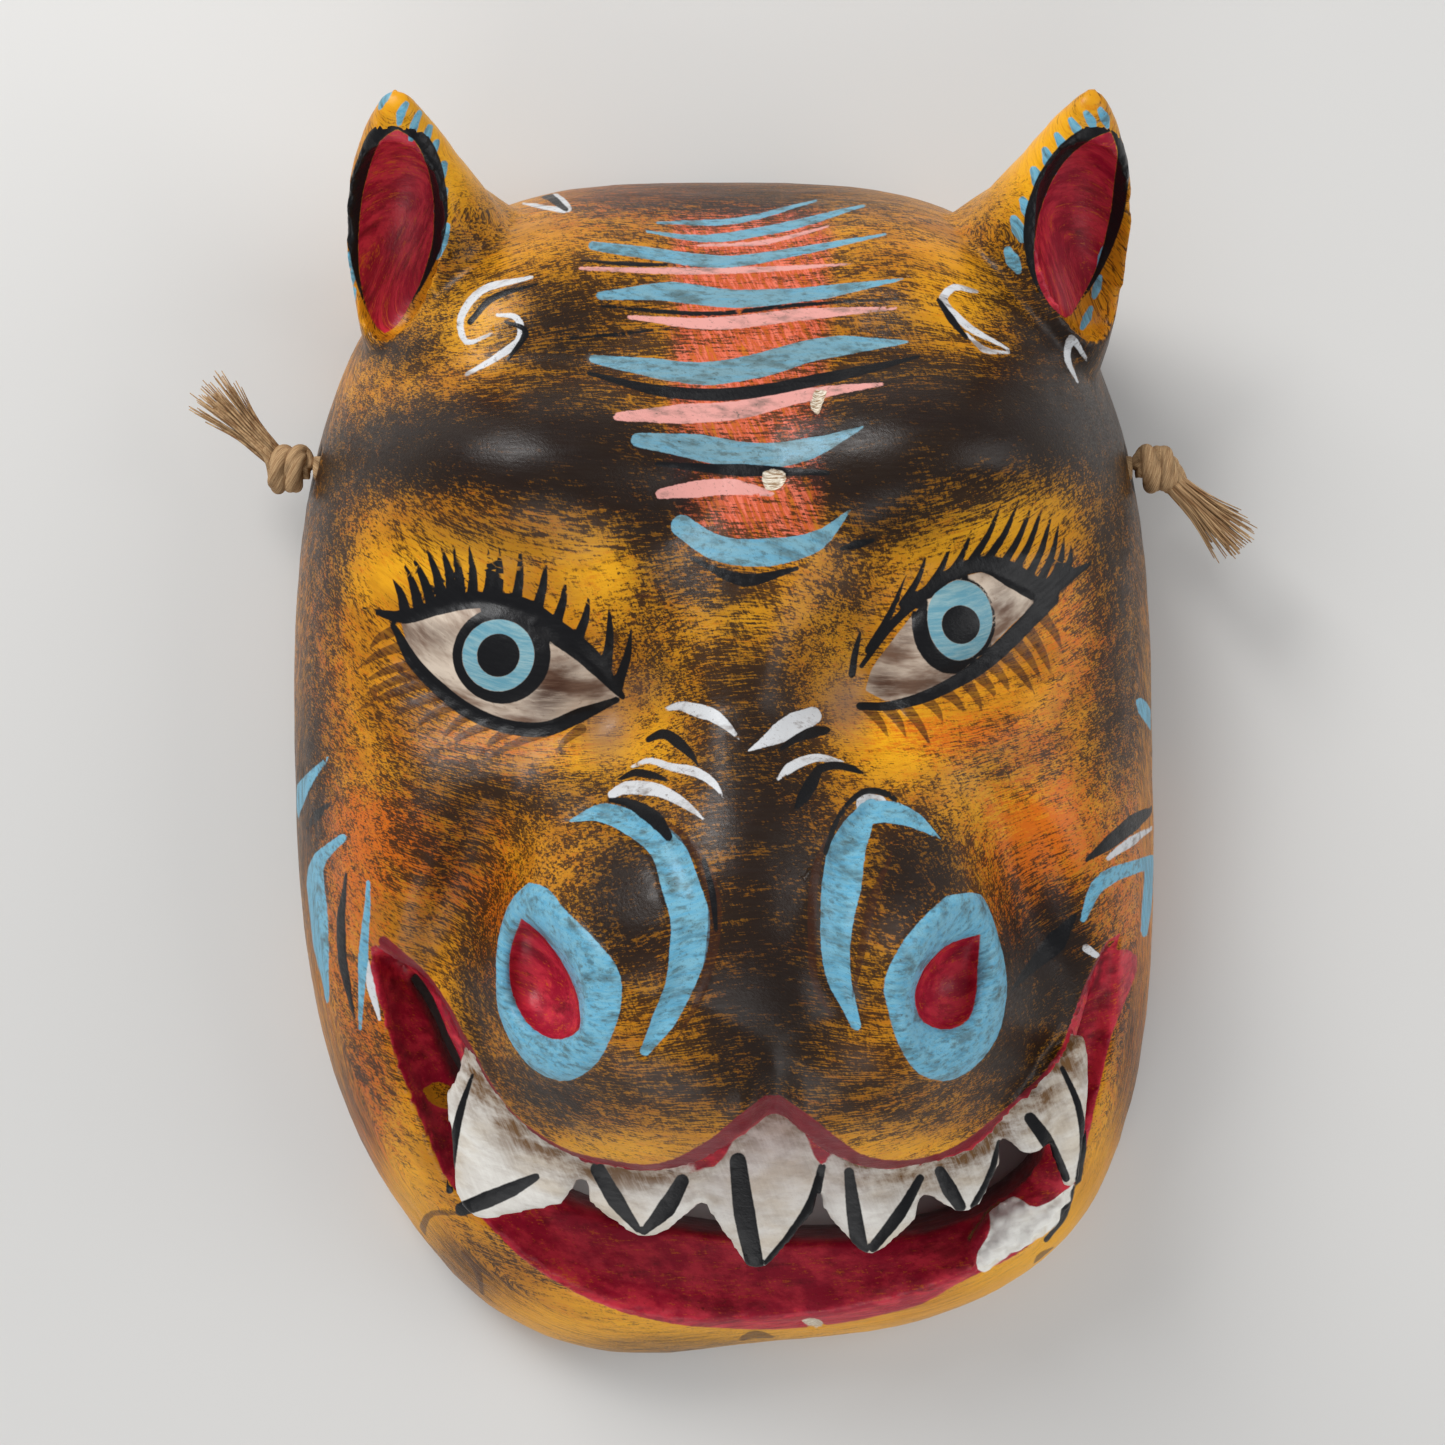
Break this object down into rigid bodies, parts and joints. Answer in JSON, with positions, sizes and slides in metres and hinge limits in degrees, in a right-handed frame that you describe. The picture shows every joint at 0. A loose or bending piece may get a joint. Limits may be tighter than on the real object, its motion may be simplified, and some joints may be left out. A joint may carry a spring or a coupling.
{
  "type": "carved feline mask",
  "caption": "Carved and painted wooden mask of a snarling cat's face with scooped ears, bared upper teeth, an open mouth and a plant-fibre cord knotted outside its side walls.",
  "frame": {"origin": "on the floor under the middle of the mask's box, without its cord", "axes": "+X to the viewer's right, +Y from the chin to the ears, +Z out of the face; the mask lies on its back rim"},
  "size_m": [0.2499, 0.2844, 0.1066],
  "materials": {
    "painted_wood": "satin",
    "plant_fibre_rope": "matte"
  },
  "bodies": {
    "root": {"mask": "painted_wood", "hanging_cord": "plant_fibre_rope", "left_knot": "plant_fibre_rope", "right_knot": "plant_fibre_rope"}
  },
  "joints": []
}
